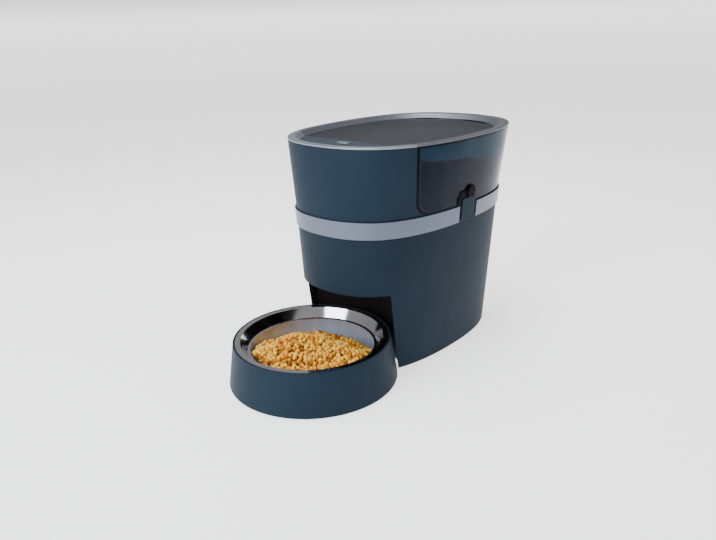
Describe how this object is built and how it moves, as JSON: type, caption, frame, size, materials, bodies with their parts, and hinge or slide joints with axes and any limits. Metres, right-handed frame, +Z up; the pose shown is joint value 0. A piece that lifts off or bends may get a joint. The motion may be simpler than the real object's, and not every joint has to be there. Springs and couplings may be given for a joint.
{
  "type": "automatic pet feeder",
  "caption": "Countertop pet feeder: a lidded tinted hopper over a belt conveyor that drops food through a front recess into a docked tray with a steel bowl.",
  "frame": {"origin": "centre of the whole footprint, on the floor the feet and the bowl tray stand on", "axes": "+Z up, the bowl towards -Y, +X towards the right when looking along +Y from the bowl"},
  "size_m": [0.241, 0.4762, 0.3034],
  "materials": {
    "navy_shell": "fine matte texture",
    "silver_trim": "satin silver paint",
    "smoked_window": "polished smoked clear plastic",
    "tinted_tank": "polished blue tinted clear plastic",
    "control_grey": "fine satin texture",
    "inner_black": "plain moulded",
    "steel_bowl": "polished stainless steel",
    "steel_pins": "zinc plated",
    "rubber_black": "soft matte rubber",
    "belt_rubber": "food grade rubber",
    "roller_white": "moulded acetal",
    "gear_white": "moulded acetal",
    "bush_bronze": "sintered bronze",
    "motor_body": "plain zinc plated can",
    "board_green": "solder mask",
    "cell_jacket": "printed jacket, left plain",
    "contact_spring": "nickel plated strip"
  },
  "bodies": {
    "body": {"base_housing": "navy_shell", "base_plate": "inner_black", "rubber_feet": "rubber_black", "base_screws": "steel_pins", "trim_band": "silver_trim", "latch_pins": "steel_pins", "latch_studs": "navy_shell", "front_cover": "navy_shell", "hopper": "tinted_tank", "hopper_liner": "inner_black", "hopper_funnel": "navy_shell", "front_rim": "silver_trim", "lid_hinge_pin": "steel_pins", "control_cap": "control_grey", "button_dome": "rubber_black", "control_board": "board_green", "conveyor_frame": "inner_black", "conveyor_belt": "belt_rubber", "roller_bushings": "bush_bronze", "motor_bracket": "steel_pins", "gear_motor": "motor_body", "motor_screws": "steel_pins", "food_chute": "inner_black", "chute_sensors": "inner_black", "battery_case": "inner_black", "battery_cells": "cell_jacket", "battery_contacts": "contact_spring", "power_inlet": "inner_black"},
    "lid": {"lid_frame": "silver_trim", "lid_window": "smoked_window", "lid_seal": "rubber_black"},
    "button": {"feed_button": "silver_trim"},
    "latch_r": {"latch_right": "navy_shell"},
    "latch_l": {"latch_left": "navy_shell"},
    "drive": {"drive_roller": "roller_white", "drive_gear": "gear_white"},
    "idler": {"idler_roller": "roller_white"},
    "pinion": {"motor_pinion": "gear_white"},
    "door": {"battery_door": "navy_shell"},
    "tray": {"bowl_tray": "navy_shell", "tray_pads": "rubber_black"},
    "bowl": {"steel_bowl": "steel_bowl"}
  },
  "joints": [
    {"name": "lid_hinge", "type": "hinge", "parent": "body", "child": "lid", "pos_m": [0, 0.23535, 0.2976], "axis": [-1, 0, 0], "range_deg": [0, 95]},
    {"name": "feed_press", "type": "slide", "parent": "body", "child": "button", "axis": [0, 0, -1], "range_m": [0, 0.0015], "stiffness_N_per_m": 1000, "deforming": ["button_dome"]},
    {"name": "latch_right_hinge", "type": "hinge", "parent": "body", "child": "latch_r", "pos_m": [0.10591, 0.06905, 0.1903], "axis": [0, 1, 0], "range_deg": [0, 35]},
    {"name": "latch_left_hinge", "type": "hinge", "parent": "body", "child": "latch_l", "pos_m": [-0.10591, 0.06905, 0.1903], "axis": [0, -1, 0], "range_deg": [0, 35]},
    {"name": "drive_spin", "type": "hinge", "parent": "body", "child": "drive", "pos_m": [0, -0.02065, 0.142], "axis": [1, 0, 0], "continuous": true},
    {"name": "idler_spin", "type": "hinge", "parent": "body", "child": "idler", "pos_m": [0, 0.12935, 0.132], "axis": [1, 0, 0], "continuous": true},
    {"name": "pinion_spin", "type": "hinge", "parent": "body", "child": "pinion", "pos_m": [0.043, 0.01185, 0.142], "axis": [1, 0, 0], "continuous": true},
    {"name": "door_slide", "type": "slide", "parent": "body", "child": "door", "axis": [0, 1, 0], "range_m": [0, 0.05]},
    {"name": "tray_slide", "type": "slide", "parent": "body", "child": "tray", "axis": [0, -1, 0], "range_m": [0, 0.12]},
    {"name": "bowl_lift", "type": "slide", "parent": "tray", "child": "bowl", "axis": [0, 0, 1], "range_m": [0, 0.05]}
  ],
  "couplings": [
    {"joint": "idler_spin", "follows": "drive_spin", "ratio": 1},
    {"joint": "pinion_spin", "follows": "drive_spin", "ratio": -2.25}
  ]
}
